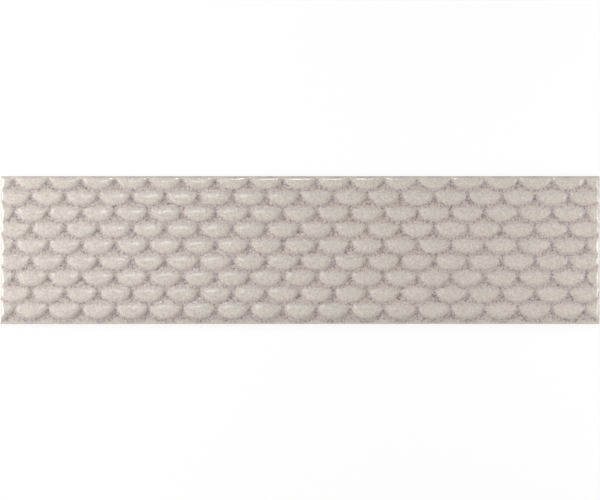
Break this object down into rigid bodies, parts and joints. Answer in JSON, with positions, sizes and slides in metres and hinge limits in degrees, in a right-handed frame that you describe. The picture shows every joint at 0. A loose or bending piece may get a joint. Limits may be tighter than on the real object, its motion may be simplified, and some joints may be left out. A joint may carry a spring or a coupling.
{
  "type": "decorative tile",
  "caption": "Narrow rectangular wall tile in glazed ceramic, with a raised fish-scale relief over its face and a softly pillowed edge.",
  "frame": {"origin": "middle of the back, on the plane the tile rests on", "axes": "+X along the tile's length, +Y across its width towards the edge the scales start from, +Z out of the glazed face"},
  "size_m": [0.3, 0.074, 0.0088],
  "materials": {
    "glaze": "gloss"
  },
  "bodies": {
    "root": {"tile": "glaze"}
  },
  "joints": []
}
